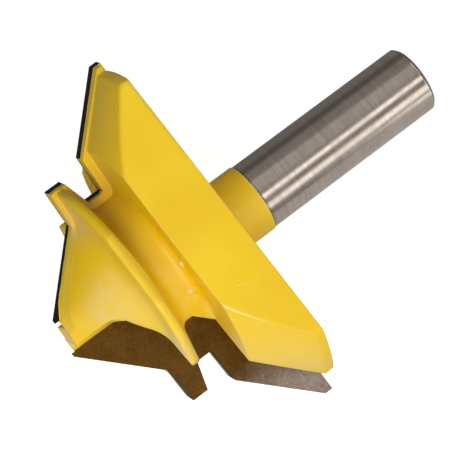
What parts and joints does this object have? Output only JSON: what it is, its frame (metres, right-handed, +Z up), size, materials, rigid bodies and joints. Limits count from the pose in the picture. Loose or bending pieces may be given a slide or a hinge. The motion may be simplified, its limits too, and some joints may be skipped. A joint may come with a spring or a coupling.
{
  "type": "lock mitre router bit",
  "caption": "Router bit that cuts a 45 degree mitre with a locking tongue and groove: a shanked steel head with brazed carbide cutting tips and milled chip gullets.",
  "frame": {"origin": "below the middle of the bit's length and width, on the surface that it lies on", "axes": "+X along the shank's axis towards its free end, +Z up, square to the two flats of the head, +Y across the cutting tips"},
  "size_m": [0.0772, 0.0686, 0.0399],
  "materials": {
    "body": "glossy yellow coating on the head and collar, bare ground steel on the shank",
    "carbide": "ground, grey-brown"
  },
  "bodies": {
    "root": {"steel_body": "body", "carbide_tip_1": "carbide", "carbide_tip_2": "carbide"}
  },
  "joints": []
}
